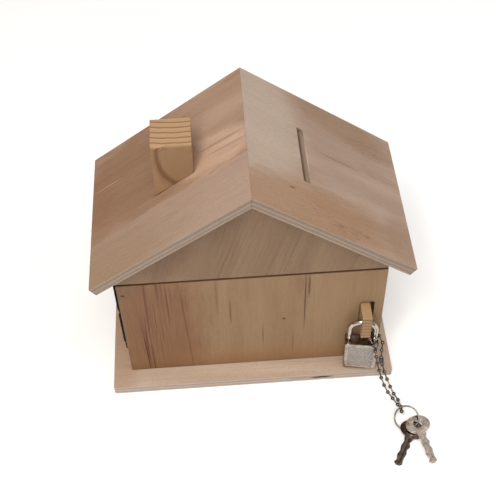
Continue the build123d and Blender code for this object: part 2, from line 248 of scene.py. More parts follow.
zoneLook = {"edgeScale": (0.06, 0.22, 0.22), "edgeDetail": 4.0, "edgeRough": 0.6}


def makeWoodZone(look):
    # a soft-edged patch of another tint; Turn is about the board's outward axis
    inputs = [
        ("Colour", "colour", None), ("Point", "vector", None), ("Streak", "value", 0.0),
        ("Fleck", "value", 0.0), ("Centre", "vector", None), ("Half Size", "vector", None),
        ("Turn", "value", 0.0), ("Softness", "value", 0.4), ("Wobble", "value", 0.5),
        ("Tint", "colour", None), ("Wash", "value", 0.5), ("Streaks", "value", 0.0),
        ("Flecks", "value", 0.0),
    ]
    group, given, result = newGroup("woodZone", inputs, [("Colour", "colour")])
    away = vectorCalc(group, "SUBTRACT", given["Point"], given["Centre"])
    back = calc(group, "MULTIPLY", given["Turn"], -1.0)
    inputs = {"Vector": away, "Angle": back}
    turned = addNode(group, "ShaderNodeVectorRotate", inputs, rotation_type="Z_AXIS").outputs[0]
    share = vectorCalc(group, "DIVIDE", turned, given["Half Size"])
    reach = vectorCalc(group, "LENGTH", share, (0.0, 0.0, 0.0))
    coarse = vectorCalc(group, "MULTIPLY", given["Point"], look["edgeScale"])
    ragged = noise(group, coarse, detail=look["edgeDetail"], rough=look["edgeRough"])
    ragged = calc(group, "SUBTRACT", ragged, 0.5)
    reach = calc(group, "MULTIPLY_ADD", ragged, calc(group, "MULTIPLY", given["Wobble"], 2.0), reach)
    outer = calc(group, "ADD", 1.0, given["Softness"])
    inner = calc(group, "SUBTRACT", 1.0, given["Softness"])
    mask = remap(group, reach, outer, inner)
    amount = calc(group, "MULTIPLY_ADD", given["Streak"], given["Streaks"], given["Wash"])
    amount = calc(group, "MULTIPLY_ADD", given["Fleck"], given["Flecks"], amount)
    amount = calc(group, "MINIMUM", amount, 1.0)
    amount = calc(group, "MULTIPLY", amount, mask)
    group.links.new(mixColour(group, amount, given["Colour"], given["Tint"]), result["Colour"])
    return group


plyLook = {
    "rim": (0.08, 0.30),         # depths over which a face gives way to the edge
    "waver": 0.9, "waverScale": 0.05, "pores": (2.4, 2.4, 5.0), "poreRange": (0.45, 0.75),
    "poreShade": 0.5,
    # place through the board and darkness there
    "plies": [
        (0.0, 0.15), (0.15, 0.0), (0.19, 1.0), (0.23, 0.75), (0.37, 0.55), (0.41, 1.0), (0.45, 0.05),
        (0.58, 0.0), (0.62, 1.0), (0.66, 0.45), (0.76, 0.55), (0.80, 0.9), (0.85, 0.0), (1.0, 0.1),
    ],
}


def makePlyEdge(look):
    # plies through a board; Z is 0 on the outer face and minus the thickness on the other
    inputs = [
        ("Point", "vector", None), ("Thickness", "value", 6.0),
        ("Light", "colour", None), ("Dark", "colour", None),
    ]
    outputs = [("Face", "value"), ("Colour", "colour"), ("Height", "value")]
    group, given, result = newGroup("plyEdge", inputs, outputs)
    height = addNode(group, "ShaderNodeSeparateXYZ", {0: given["Point"]}).outputs["Z"]
    depth = calc(group, "MULTIPLY", height, -1.0)
    near = remap(group, depth, *look["rim"])
    far = remap(group, calc(group, "SUBTRACT", given["Thickness"], depth), *look["rim"])
    edge = calc(group, "MINIMUM", near, far)
    waver = calc(group, "SUBTRACT", noise(group, given["Point"], scale=look["waverScale"]), 0.5)
    level = calc(group, "MULTIPLY_ADD", waver, look["waver"], depth)
    level = calc(group, "DIVIDE", level, given["Thickness"])
    ramp = addNode(group, "ShaderNodeValToRGB", {0: level})
    elements = ramp.color_ramp.elements
    while len(elements) < len(look["plies"]):
        elements.new(0.5)
    for element, (place, darkness) in zip(elements, look["plies"]):
        element.position = place
        element.color = grey(darkness)
    pores = noise(group, vectorCalc(group, "MULTIPLY", given["Point"], look["pores"]))
    speck = remap(group, pores, *look["poreRange"], 0.0, look["poreShade"])
    dark = calc(group, "MINIMUM", calc(group, "ADD", ramp.outputs[0], speck), 1.0)
    group.links.new(calc(group, "SUBTRACT", 1.0, edge), result["Face"])
    group.links.new(mixColour(group, dark, given["Light"], given["Dark"]), result["Colour"])
    hollow = calc(group, "MULTIPLY", dark, edge)
    group.links.new(calc(group, "MULTIPLY", hollow, -1.0), result["Height"])
    return group


yearLook = {
    "driftScale": (0.05, 0.22, 0.12), "driftDetail": 3.0, "rise": (0.55, 0.90), "fall": (0.93, 1.0),
}


def makeGrowthRings(look):
    # rings round a pith that runs along X; Late is 1 on the dark line of each year
    inputs = [
        ("Point", "vector", None), ("Pith", "vector", None), ("Spacing", "value", 3.0),
        ("Taper", "value", 0.05), ("Waver", "value", 0.6),
    ]
    outputs = [("Late", "value"), ("Year", "value")]
    group, given, result = newGroup("growthRings", inputs, outputs)
    away = vectorCalc(group, "SUBTRACT", given["Point"], given["Pith"])
    across = vectorCalc(group, "MULTIPLY", away, (0.0, 1.0, 1.0))
    radius = vectorCalc(group, "LENGTH", across, (0.0, 0.0, 0.0))
    along = addNode(group, "ShaderNodeSeparateXYZ", {0: given["Point"]}).outputs["X"]
    radius = calc(group, "MULTIPLY_ADD", along, given["Taper"], radius)
    slow = vectorCalc(group, "MULTIPLY", given["Point"], look["driftScale"])
    drift = calc(group, "SUBTRACT", noise(group, slow, detail=look["driftDetail"]), 0.5)
    radius = calc(group, "MULTIPLY_ADD", drift, given["Waver"], radius)
    years = calc(group, "DIVIDE", radius, given["Spacing"])
    phase = calc(group, "FRACT", years)
    rise = remap(group, phase, *look["rise"])
    fall = remap(group, phase, *look["fall"], 1.0, 0.0)
    late = calc(group, "MULTIPLY", calc(group, "POWER", rise, 2.0), fall)
    group.links.new(late, result["Late"])
    group.links.new(phase, result["Year"])
    return group


handlingLook = {
    "smudgeScale": 0.35, "smudgeDetail": 3.0, "lines": (0.25, 5.0, 1.1), "lineRange": (0.62, 0.72),
    "pitScale": 2.1, "pitRange": (0.04, 0.16),
}


def makeHandling(look):
    # smudges, hair scratches and pits on metal
    inputs = [("Point", "vector", None), ("Scale", "value", 1.0)]
    outputs = [("Smudge", "value"), ("Scratch", "value"), ("Pit", "value")]
    group, given, result = newGroup("handling", inputs, outputs)
    inputs = {0: given["Point"], "Scale": given["Scale"]}
    point = addNode(group, "ShaderNodeVectorMath", inputs, operation="SCALE").outputs[0]
    smudge = noise(group, point, scale=look["smudgeScale"], detail=look["smudgeDetail"])
    group.links.new(smudge, result["Smudge"])
    lines = noise(group, vectorCalc(group, "MULTIPLY", point, look["lines"]))
    group.links.new(remap(group, lines, *look["lineRange"]), result["Scratch"])
    inputs = {"Vector": point, "Scale": look["pitScale"]}
    pits = addNode(group, "ShaderNodeTexVoronoi", inputs).outputs["Distance"]
    group.links.new(remap(group, pits, *look["pitRange"], 1.0, 0.0), result["Pit"])
    return group


woodFibre = makeWoodFibre(fibreLook)
woodZone = makeWoodZone(zoneLook)
plyEdge = makePlyEdge(plyLook)
growthRings = makeGrowthRings(yearLook)
handling = makeHandling(handlingLook)
print("shared effects ready")


def startMaterial(name):
    material = bpy.data.materials.new(name)
    material.use_nodes = True
    tree = material.node_tree
    return material, tree, tree.nodes["Principled BSDF"]


def placedPoint(tree, along, outward, origin):
    # Object coordinates in millimetres, X along the fibres and Z out of the board's outer face
    x = Vector(along).normalized()
    z = Vector(outward).normalized()
    turn = Matrix((x, z.cross(x), z))
    mapping = addNode(tree, "ShaderNodeMapping", vector_type="POINT")
    mapping.inputs["Scale"].default_value = toMillimetres
    mapping.inputs["Rotation"].default_value = turn.to_euler("XYZ")
    mapping.inputs["Location"].default_value = -(turn @ Vector(origin)) * toMillimetres[0]
    coordinates = addNode(tree, "ShaderNodeTexCoord")
    tree.links.new(coordinates.outputs["Object"], mapping.inputs["Vector"])
    return mapping.outputs[0]


def addBump(tree, shader, height, distance, strength=1.0):
    inputs = {"Height": height, "Distance": distance, "Strength": strength}
    tree.links.new(addNode(tree, "ShaderNodeBump", inputs).outputs[0], shader.inputs["Normal"])


# a zone's usual values, and the half size through the board of one that gives only two
plainZone = {"turn": 0.0, "soft": 0.4, "wobble": 0.5, "wash": 0.0, "streaks": 0.0, "flecks": 0.0}
throughAll = 1000.0


def addZones(tree, look, zones, colour, point, fibre):
    # each zone is laid over the last; all its sizes are in millimetres
    for values in zones:
        zone = {**plainZone, **values}
        flat = len(zone["at"]) == 2
        colour = useGroup(tree, woodZone, {
            "Colour": colour, "Point": point, "Streak": fibre["Streak"], "Fleck": fibre["Fleck"],
            "Centre": zone["at"] + (0.0,) if flat else zone["at"],
            "Half Size": zone["half"] + (throughAll,) if flat else zone["half"],
            "Turn": math.radians(zone["turn"]), "Softness": zone["soft"], "Wobble": zone["wobble"],
            "Tint": toned(look, zone["tint"]), "Wash": zone["wash"], "Streaks": zone["streaks"],
            "Flecks": zone["flecks"],
        })["Colour"]
    return colour


# ranges are a layer's low and high, and what it gives at each of them
plywoodLook = {
    "waver": 4.0, "broad": (0.32, 0.68), "medium": (0.3, 0.7), "fine": (0.25, 0.75, 1.06, 0.94),
    "nap": (0.3, 0.7, 1.10, 0.90), "rough": (0.3, 0.7, 0.55, 0.72), "specular": 0.35,
    "mediumRise": 0.5, "streakRise": -0.25, "plyRise": 0.6, "depth": 0.00009,
}


def plywoodMaterial(name, look):
    look = {**plywoodLook, **look}
    material, tree, shader = startMaterial(name)
    point = placedPoint(tree, look["along"], look["outward"], look["origin"])
    fibre = useGroup(tree, woodFibre, {"Point": point, "Seed": look["seed"], "Waver": look["waver"]})
    broad = remap(tree, fibre["Broad"], *look["broad"])
    colour = mixColour(tree, broad, toned(look, look["light"]), toned(look, look["dark"]))
    colour = addZones(tree, look, look["zones"], colour, point, fibre)
    figure = look["figure"]
    soft = remap(tree, fibre["Medium"], *look["medium"], 1 + figure, 1 - figure, smooth=False)
    fine = remap(tree, fibre["Fine"], *look["fine"], smooth=False)
    nap = remap(tree, fibre["Nap"], *look["nap"], smooth=False)
    shade = calc(tree, "MULTIPLY", calc(tree, "MULTIPLY", soft, fine), nap)
    colour = mixColour(tree, 1.0, colour, shade, "MULTIPLY")
    plies = useGroup(tree, plyEdge, {
        "Point": point, "Light": toned(look, look["edgeLight"]), "Dark": toned(look, look["edgeDark"]),
    })
    colour = mixColour(tree, plies["Face"], plies["Colour"], colour)
    # painted light and shade, laid over the ply edges: lit slot walls, shaded gaps and hollows
    colour = addZones(tree, look, look.get("paintedLightAndShade", []), colour, point, fibre)
    tree.links.new(colour, shader.inputs["Base Color"])
    rough = remap(tree, fibre["Fine"], *look["rough"], smooth=False)
    tree.links.new(rough, shader.inputs["Roughness"])
    shader.inputs["Specular IOR Level"].default_value = look["specular"]
    height = calc(tree, "MULTIPLY_ADD", fibre["Medium"], look["mediumRise"], fibre["Fine"])
    height = calc(tree, "MULTIPLY_ADD", fibre["Streak"], look["streakRise"], height)
    height = calc(tree, "MULTIPLY_ADD", plies["Height"], look["plyRise"], height)
    addBump(tree, shader, height, look["depth"])
    return material


pineLook = {
    "fibreWaver": 1.0, "fine": (0.25, 0.75, 1.07, 0.92), "rough": (0.0, 1.0, 0.68, 0.5),
    "specular": 0.35, "lateRise": 0.9, "depth": 0.00006,
}


def pineMaterial(name, look):
    look = {**pineLook, **look}
    material, tree, shader = startMaterial(name)
    point = placedPoint(tree, look["along"], look["outward"], look["origin"])
    rings = useGroup(tree, growthRings, {
        "Point": point, "Pith": look["pith"], "Spacing": look["spacing"],
        "Taper": look["taper"], "Waver": look["waver"],
    })
    fibre = useGroup(tree, woodFibre, {"Point": point, "Seed": look["seed"], "Waver": look["fibreWaver"]})
    colour = mixColour(tree, rings["Year"], toned(look, look["light"]), toned(look, look["middle"]))
    late = calc(tree, "MULTIPLY", rings["Late"], look["contrast"])
    colour = mixColour(tree, late, colour, toned(look, look["late"]))
    colour = addZones(tree, look, look["zones"], colour, point, fibre)
    shade = remap(tree, fibre["Fine"], *look["fine"], smooth=False)
    colour = mixColour(tree, 1.0, colour, shade, "MULTIPLY")
    tree.links.new(colour, shader.inputs["Base Color"])
    rough = remap(tree, rings["Late"], *look["rough"], smooth=False)
    tree.links.new(rough, shader.inputs["Roughness"])
    shader.inputs["Specular IOR Level"].default_value = look["specular"]
    height = calc(tree, "MULTIPLY_ADD", rings["Late"], look["lateRise"], fibre["Fine"])
    addBump(tree, shader, height, look["depth"])
    return material


metalLook = {
    "metallic": 1.0, "specular": 0.5, "wave": 0.15, "dulling": (0.35, 0.7), "smudges": (0.3, 0.7),
    "scratchRough": 0.25,
}


def metalMaterial(name, look):
    look = {**metalLook, **look}
    material, tree, shader = startMaterial(name)
    point = placedPoint(tree, (1, 0, 0), (0, 0, 1), (0, 0, 0))
    marks = useGroup(tree, handling, {"Point": point, "Scale": look["scale"]})
    dull = remap(tree, marks["Smudge"], *look["dulling"])
    colour = mixColour(tree, dull, tint(*look["bright"]), tint(*look["dull"]))
    pits = calc(tree, "MULTIPLY", marks["Pit"], look["pits"])
    colour = mixColour(tree, pits, colour, tint(*look["pitTint"]))
    tree.links.new(colour, shader.inputs["Base Color"])
    shader.inputs["Metallic"].default_value = look["metallic"]
    shader.inputs["Specular IOR Level"].default_value = look["specular"]
    rough = remap(tree, marks["Smudge"], *look["smudges"], *look["rough"], smooth=False)
    rough = calc(tree, "MULTIPLY_ADD", marks["Scratch"], look["scratch"] * look["scratchRough"], rough)
    tree.links.new(rough, shader.inputs["Roughness"])
    height = calc(tree, "MULTIPLY", marks["Scratch"], -look["scratch"])
    height = calc(tree, "MULTIPLY_ADD", marks["Smudge"], look["wave"], height)
    height = calc(tree, "MULTIPLY_ADD", marks["Pit"], -look["pits"], height)
    addBump(tree, shader, height, look["depth"])
    return material


pebbleLook = {
    "hollow": (134, 127, 121), "crest": (200, 192, 184), "grains": 1.9, "grainRange": (0.1, 0.7),
    "patchScale": 1.1, "patchDetail": 3.0, "patchRange": (0.35, 0.65), "patches": 0.35,
    "metallic": 0.7, "rough": (0.55, 0.36), "depth": 0.00012, "strength": 0.8,
}


def pebbleMaterial(name, look):
    material, tree, shader = startMaterial(name)
    point = placedPoint(tree, (1, 0, 0), (0, 0, 1), (0, 0, 0))
    cells = addNode(tree, "ShaderNodeTexVoronoi", {"Vector": point, "Scale": look["grains"]})
    swell = remap(tree, cells.outputs["Distance"], *look["grainRange"], 1.0, 0.0)
    patch = noise(tree, point, scale=look["patchScale"], detail=look["patchDetail"])
    patch = remap(tree, patch, *look["patchRange"])
    colour = mixColour(tree, swell, tint(*look["hollow"]), tint(*look["crest"]))
    worn = calc(tree, "MULTIPLY", patch, look["patches"])
    colour = mixColour(tree, worn, colour, tint(*look["hollow"]))
    tree.links.new(colour, shader.inputs["Base Color"])
    shader.inputs["Metallic"].default_value = look["metallic"]
    tree.links.new(remap(tree, swell, 0.0, 1.0, *look["rough"]), shader.inputs["Roughness"])
    addBump(tree, shader, swell, look["depth"], look["strength"])
    return material


def cornerOf(node, x, y, z):
    # a corner, edge or middle of a node's box: -1 is its low side, 0 its middle and 1 its high side
    low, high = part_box(node)
    share = Vector(((x + 1) / 2, (y + 1) / 2, (z + 1) / 2))
    return low + Vector([a * b for a, b in zip(high - low, share)])


slope = math.radians(36)             # of the roof
gableLean = math.radians(17)         # of the gable's grain
ridgeTop = (0.0, 0.0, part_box("roof_left")[1].z)
plyEdgeTints = {"edgeLight": (172, 154, 139), "edgeDark": (138, 118, 102)}
wallShare = {"tone": (0.90, 0.89, 0.88), "figure": 0.05, **plyEdgeTints}


def darkMark(x, y, length, width, tint, wash, **more):
    # a line, pore or knot, its length along the fibres
    return {"at": (x, y), "half": (length, width), "wobble": 0.3, "tint": tint, "wash": wash, **more}


# zones lie on the face, along and across the fibres; the painted light and shade lies over the ply edges
# too
boardLooks = {
    "roof_left": {
        "along": (math.cos(slope), 0, math.sin(slope)), "outward": (-math.sin(slope), 0, math.cos(slope)),
        "origin": ridgeTop, "seed": 1.0, "tone": (0.86, 0.85, 0.84), "figure": 0.035,
        "light": (188, 156, 132), "dark": (172, 138, 114), **plyEdgeTints,
        "zones": [
            {"at": (-78.0, 16.0), "half": (40.0, 38.0), "soft": 0.4, "tint": (146, 109, 80),
             "wash": 0.75, "streaks": 0.3},
            {"at": (-104.0, 8.0), "half": (10.0, 40.0), "tint": (150, 110, 84), "wash": 0.5},
            {"at": (-50.0, -52.0), "half": (260.0, 35.0), "turn": 2.0, "soft": 0.025, "wobble": 0.12,
             "tint": (182, 155, 137), "wash": 0.9},
            {"at": (-96.0, -40.0), "half": (48.0, 23.0), "soft": 0.7, "tint": (162, 133, 104),
             "wash": 0.8, "flecks": 0.12},
            {"at": (-23.0, -3.6), "half": (11.0, 2.6), "tint": (190, 150, 118), "wash": 0.7},
            # painted light: a lighter patch upslope of the chimney, where its shadow falls on the roof
            {"at": (-24.0, -2.0), "half": (27.0, 13.0), "turn": -6.0, "soft": 0.35,
             "tint": (216, 182, 156), "wash": 0.75},
            {"at": (-16.0, 2.0), "half": (14.0, 1.0), "turn": -3.0, "wobble": 0.4,
             "tint": (150, 116, 98), "wash": 0.5},
            {"at": (-12.0, -4.0), "half": (11.0, 0.7), "turn": -3.0, "wobble": 0.4,
             "tint": (154, 120, 102), "wash": 0.5},
            {"at": (-10.0, -7.0), "half": (11.0, 2.4), "tint": (150, 112, 92), "wash": 0.15,
             "streaks": 0.6},
            {"at": (-5.0, 45.0), "half": (7.0, 2.0), "tint": (158, 112, 92), "wash": 0.35, "streaks": 0.5},
            {"at": (-96.0, 19.8), "half": (9.0, 0.35), "wobble": 0.2, "tint": (204, 172, 146),
             "wash": 0.7},
            {"at": (-58.0, -9.0), "half": (5.4, 1.0), "wobble": 1.2, "tint": (84, 58, 40), "wash": 0.55,
             "flecks": 0.5},
        ],
    },
    "roof_right": {
        "along": (math.cos(slope), 0, -math.sin(slope)), "outward": (math.sin(slope), 0, math.cos(slope)),
        "origin": ridgeTop, "seed": 2.0, "tone": (0.85, 0.835, 0.82), "figure": 0.03,
        "light": (184, 160, 143), "dark": (170, 144, 125), **plyEdgeTints,
        "zones": [
            {"at": (12.0, 14.0), "half": (24.0, 50.0), "soft": 0.5, "tint": (194, 176, 160), "wash": 0.8},
            {"at": (40.0, -40.0), "half": (52.0, 19.0), "turn": 3.0, "soft": 0.4, "tint": (164, 128, 96),
             "wash": 0.75, "flecks": 0.4},
            {"at": (18.0, -36.0), "half": (19.0, 12.0), "soft": 0.4, "tint": (172, 141, 116), "wash": 0.5,
             "flecks": 0.3},
            {"at": (41.0, -36.0), "half": (11.0, 5.0), "tint": (124, 92, 68), "flecks": 0.9},
            {"at": (62.0, -42.0), "half": (12.0, 4.0), "tint": (120, 86, 62), "flecks": 0.9, "wash": 0.1},
            {"at": (70.0, 41.0), "half": (34.0, 11.0), "turn": -6.0, "soft": 0.4, "tint": (156, 126, 100),
             "wash": 0.7, "flecks": 0.5},
            {"at": (88.0, 31.0), "half": (13.0, 8.0), "tint": (146, 116, 92), "wash": 0.3, "flecks": 0.9},
            {"at": (58.0, 8.0), "half": (17.0, 2.2), "turn": 3.0, "tint": (134, 112, 98), "wash": 0.15,
             "streaks": 0.7},
            {"at": (90.0, 14.0), "half": (12.0, 5.0), "tint": (138, 116, 102), "wash": 0.1,
             "streaks": 0.7},
            {"at": (99.0, -32.0), "half": (11.0, 18.0), "tint": (158, 129, 105), "wash": 0.6,
             "flecks": 0.3},
            darkMark(27.0, -28.0, 1.7, 0.6, (112, 78, 54), 0.8),
        ],
        "paintedLightAndShade": [
            # painted light: the coin slot's right inner wall lightened as if lit
            {"at": (39.8, 0.4, -3.0), "half": (1.6, 23.0, 3.2), "soft": 0.1, "wobble": 0.0,
             "tint": (206, 178, 158), "wash": 0.8},
        ],
    },
    "front_gable": {
        "along": (math.sin(gableLean), 0, math.cos(gableLean)), "outward": (0, -1, 0),
        "origin": cornerOf("front_gable", 0, -1, -1), "seed": 3.0, "tone": (0.765, 0.735, 0.70),
        "figure": 0.03, "waver": 1.2, "light": (170, 143, 117), "dark": (158, 131, 106), **plyEdgeTints,
        "zones": [
            {"at": (20.0, 0.0), "half": (60.0, 90.0), "tint": (112, 86, 64), "streaks": 0.2,
             "flecks": 0.12},
            {"at": (26.0, 18.0), "half": (34.0, 9.0), "tint": (108, 82, 61), "streaks": 0.3, "wash": 0.04},
            {"at": (24.0, -8.0), "half": (34.0, 12.0), "tint": (108, 82, 61), "streaks": 0.3,
             "wash": 0.04},
            {"at": (10.0, 50.0), "half": (20.0, 14.0), "tint": (136, 104, 82), "wash": 0.4, "flecks": 0.3},
        ],
    },
    "door_panel": {
        "along": (0, 0, 1), "outward": (0, -1, 0), "origin": (0.0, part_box("door_panel")[0].y, 0.0),
        "seed": 4.0, "tone": (0.81, 0.775, 0.735), "figure": 0.025, "waver": 0.6,
        "light": (168, 142, 111), "dark": (160, 132, 102), **plyEdgeTints,
        "zones": [
            {"at": (44.0, 56.0), "half": (60.0, 26.0), "soft": 0.5, "tint": (140, 99, 70), "wash": 0.8,
             "streaks": 0.5},
            {"at": (48.0, 0.0), "half": (60.0, 80.0), "tint": (136, 104, 78), "streaks": 0.28},
            {"at": (11.0, -10.0), "half": (12.0, 80.0), "soft": 0.7, "tint": (174, 132, 92), "wash": 0.55},
            {"at": (30.0, 63.6), "half": (30.0, 2.2), "turn": 1.5, "wobble": 0.3, "tint": (112, 60, 34),
             "wash": 0.1, "streaks": 0.6},
            {"at": (26.0, 64.0), "half": (27.0, 0.4), "turn": 1.5, "wobble": 0.5, "tint": (84, 38, 18),
             "wash": 0.85},
            {"at": (40.0, 62.6), "half": (20.0, 0.3), "turn": -1.0, "wobble": 0.5, "tint": (92, 46, 24),
             "wash": 0.7},
            darkMark(66.0, 60.4, 26.0, 0.6, (98, 58, 34), 0.6, turn=-1.0),
            darkMark(18.0, 60.6, 18.0, 0.5, (96, 56, 32), 0.65),
            {"at": (60.0, 55.0), "half": (34.0, 6.0), "tint": (112, 72, 46), "streaks": 0.8},
            darkMark(70.0, 48.4, 19.0, 0.5, (100, 62, 38), 0.65),
            {"at": (74.0, 42.0), "half": (16.0, 4.0), "tint": (108, 70, 46), "streaks": 0.8, "wash": 0.1},
            darkMark(46.0, 39.0, 46.0, 0.45, (110, 72, 46), 0.6, turn=2.6),
            darkMark(73.0, 20.5, 18.0, 0.4, (122, 90, 62), 0.5),
            darkMark(60.0, 13.2, 11.0, 0.45, (98, 71, 48), 0.7),
            darkMark(65.0, -29.5, 25.0, 0.45, (90, 64, 42), 0.8),
            darkMark(80.0, -31.6, 10.0, 0.7, (96, 68, 45), 0.7),
            {"at": (82.0, -26.0), "half": (8.0, 2.2), "tint": (108, 79, 54), "wash": 0.2, "streaks": 0.6},
            darkMark(35.5, -5.3, 9.0, 0.4, (110, 81, 56), 0.6),
            darkMark(26.0, -23.2, 11.0, 0.4, (118, 87, 59), 0.55),
            {"at": (49.6, -17.6), "half": (1.0, 0.9), "wobble": 0.2, "tint": (86, 60, 40), "wash": 0.9},
            {"at": (80.8, 72.1), "half": (0.8, 1.2), "wobble": 0.2, "tint": (78, 48, 30), "wash": 0.9},
        ],
        "paintedLightAndShade": [
            # painted shade: the door's top edge darkened where the gap under the gable is in shade
            {"at": (90.2, 0.0, -3.0), "half": (0.85, 200.0, 20.0), "soft": 0.15, "wobble": 0.1,
             "tint": (100, 70, 46), "wash": 0.9},
        ],
    },
    "base_board": {
        "along": (1, 0, 0), "outward": (0, 0, 1), "origin": cornerOf("base_board", 0, 0, 1),
        "seed": 5.0, "tone": (0.88, 0.90, 0.93), "figure": 0.03, "light": (204, 176, 150),
        "dark": (190, 161, 134), "edgeLight": (206, 184, 166), "edgeDark": (164, 143, 128),
        "zones": [
            # painted shadow of the house on the base's left margin
            {"at": (-82.0, -20.0), "half": (14.0, 34.0), "tint": (176, 138, 108), "wash": 0.7},
            {"at": (0.0, -42.0), "half": (90.0, 8.0), "tint": (168, 134, 108), "streaks": 0.35},
        ],
        "paintedLightAndShade": [
            # painted shade in the open knot hole at the front edge; the second zone darkens a thin line in
            # the middle ply beside it
            {"at": (41.5, -48.0, -2.9), "half": (7.4, 6.0, 0.7), "soft": 0.2, "wobble": 0.3,
             "tint": (52, 36, 28), "wash": 0.95},
            {"at": (27.0, -48.0, -2.7), "half": (6.0, 6.0, 0.35), "soft": 0.4, "wobble": 0.4,
             "tint": (96, 76, 62), "wash": 0.6},
        ],
    },
    "left_wall": {
        "along": (0, 0, 1), "outward": (-1, 0, 0), "origin": cornerOf("left_wall", -1, 0, -1),
        "seed": 6.0, "light": (190, 160, 134), "dark": (170, 138, 112), **wallShare,
        "zones": [
            {"at": (40.0, 8.0), "half": (50.0, 12.0), "tint": (150, 112, 84), "wash": 0.35,
             "streaks": 0.5},
            {"at": (60.0, -14.0), "half": (30.0, 9.0), "tint": (176, 148, 128), "wash": 0.5,
             "flecks": 0.3},
        ],
    },
    "right_wall": {
        "along": (0, 0, 1), "outward": (1, 0, 0), "origin": cornerOf("right_wall", 1, 0, -1),
        "seed": 7.0, "light": (192, 164, 140), "dark": (172, 142, 118), **wallShare,
        "zones": [
            {"at": (50.0, 4.0), "half": (60.0, 14.0), "tint": (156, 122, 96), "wash": 0.3, "flecks": 0.5},
            {"at": (24.0, -18.0), "half": (26.0, 7.0), "tint": (132, 98, 72), "streaks": 0.6},
        ],
    },
    "back_wall": {
        "along": (0, 0, 1), "outward": (0, 1, 0), "origin": cornerOf("back_wall", 0, 1, -1),
        "seed": 8.0, "light": (188, 160, 134), "dark": (168, 138, 112), **wallShare,
        "zones": [
            {"at": (70.0, -34.0), "half": (80.0, 22.0), "tint": (152, 116, 88), "wash": 0.45,
             "streaks": 0.5},
            {"at": (80.0, 30.0), "half": (70.0, 16.0), "tint": (180, 156, 138), "wash": 0.5},
            {"at": (60.0, 0.0), "half": (50.0, 60.0), "tint": (122, 90, 66), "flecks": 0.5},
            darkMark(92.0, 44.0, 4.4, 2.8, (96, 62, 40), 0.85),
            {"at": (92.0, 44.0), "half": (9.0, 5.0), "tint": (140, 100, 70), "wash": 0.4, "streaks": 0.5},
        ],
    },
}

pineLooks = {
    "chimney": {
        "along": (0, 0, 1), "outward": (0, -1, 0), "origin": cornerOf("chimney", 0, -1, 1),
        "tone": (0.81, 0.80, 0.79),
        "pith": (0.0, -3.0, -78.0), "spacing": 3.8, "taper": -0.05, "waver": 1.0, "seed": 11.0,
        "light": (200, 162, 124), "middle": (190, 151, 113), "late": (132, 92, 58), "contrast": 0.8,
        "zones": [
            # painted shade: the front face below the top made darker than the top
            {"at": (-21.0, 0.0, 0.0), "half": (20.2, 60.0, 0.8), "soft": 0.03, "wobble": 0.0,
             "tint": (176, 139, 105), "wash": 0.75},
            {"at": (-6.0, -3.0, 0.0), "half": (22.0, 11.8, 0.8), "soft": 0.05, "wobble": 0.08,
             "tint": (128, 92, 62), "wash": 0.75},
            {"at": (-5.2, -3.4, 0.0), "half": (19.6, 10.0, 0.8), "soft": 0.08, "wobble": 0.08,
             "tint": (176, 140, 105), "wash": 0.9},
        ],
    },
    "lock_tongue": {
        "along": (0, 1, 0), "outward": (0, 0, 1), "origin": cornerOf("lock_tongue", 0, -1, 1),
        "tone": (0.80, 0.79, 0.76),
        "pith": (0.0, 4.0, -62.0), "spacing": 2.9, "taper": 0.03, "waver": 0.5, "seed": 12.0,
        "light": (198, 162, 124), "middle": (186, 148, 110), "late": (92, 58, 34), "contrast": 1.0,
        "zones": [
            {"at": (0.0, 0.0, -10.0), "half": (0.9, 10.0, 25.0), "soft": 0.3, "wobble": 0.1,
             "tint": (150, 114, 84), "wash": 0.3},
        ],
    },
    "tongue_block": {
        "along": (0, 1, 0), "outward": (0, 0, 1), "origin": cornerOf("tongue_block", 0, -1, 1),
        "tone": (0.95, 0.95, 0.95),
        "pith": (0.0, -20.0, -40.0), "spacing": 2.6, "taper": 0.04, "waver": 0.6, "seed": 13.0,
        "light": (204, 166, 124), "middle": (190, 150, 108), "late": (140, 98, 60), "contrast": 0.7,
        "zones": [],
    },
}

